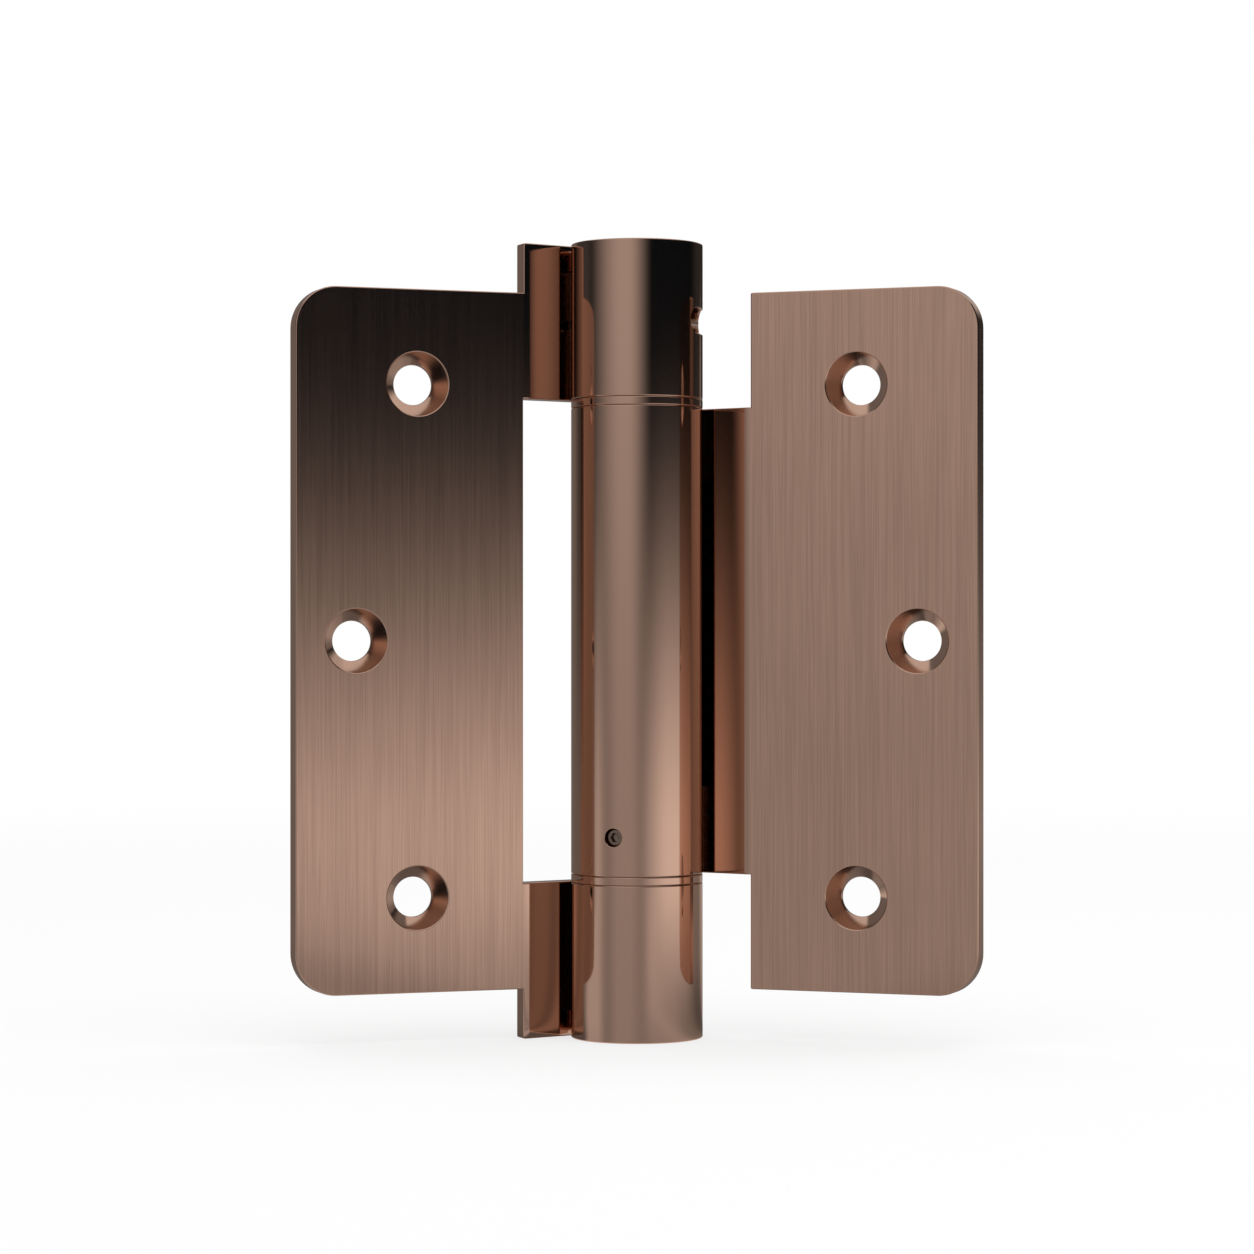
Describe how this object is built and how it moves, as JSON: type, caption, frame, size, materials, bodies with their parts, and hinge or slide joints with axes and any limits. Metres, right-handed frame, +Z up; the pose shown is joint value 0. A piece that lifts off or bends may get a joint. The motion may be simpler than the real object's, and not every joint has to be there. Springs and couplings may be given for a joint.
{
  "type": "spring hinge",
  "caption": "Self-closing door hinge with two countersunk leaves on a hollow barrel that holds an adjustable torsion spring.",
  "frame": {"origin": "centre of the barrel's lower end face, on the pin axis", "axes": "+Z up the pin axis, -Y to the front that the countersunk faces look to, +X towards the door leaf"},
  "size_m": [0.0978, 0.0241, 0.1143],
  "materials": {
    "leaf_metal": "rose bronze plating, leaves brushed along the barrel, knuckles polished",
    "washer_metal": "polished rose bronze plating",
    "cap_metal": "polished rose bronze plating",
    "plug_steel": "turned and oiled",
    "pin_steel": "ground",
    "screw_steel": "black oxide",
    "spring_steel": "oil-tempered wire",
    "nylon": "black nylon"
  },
  "bodies": {
    "frame_side": {"frame_leaf": "leaf_metal", "lower_bush": "nylon", "lower_washer": "washer_metal", "top_cap": "cap_metal", "bottom_cap": "cap_metal"},
    "door_side": {"door_leaf": "leaf_metal", "upper_bush": "nylon", "upper_washer": "washer_metal", "spring_anchor": "plug_steel", "anchor_set_screw": "screw_steel", "torsion_spring": "spring_steel"},
    "tensioner": {"tension_collar": "plug_steel", "tension_pin": "pin_steel"}
  },
  "joints": [
    {"name": "leaf_swing", "type": "hinge", "parent": "frame_side", "child": "door_side", "pos_m": [0, 0, 0], "axis": [0, 0, 1], "range_deg": [-139.2, 40.8], "stiffness_Nm_per_rad": 0.6, "deforming": ["torsion_spring"]},
    {"name": "tension_wind", "type": "hinge", "parent": "frame_side", "child": "tensioner", "pos_m": [0, 0, 0], "axis": [0, 0, 1], "range_deg": [-47, 0], "stiffness_Nm_per_rad": 0.6, "deforming": ["torsion_spring"]}
  ]
}
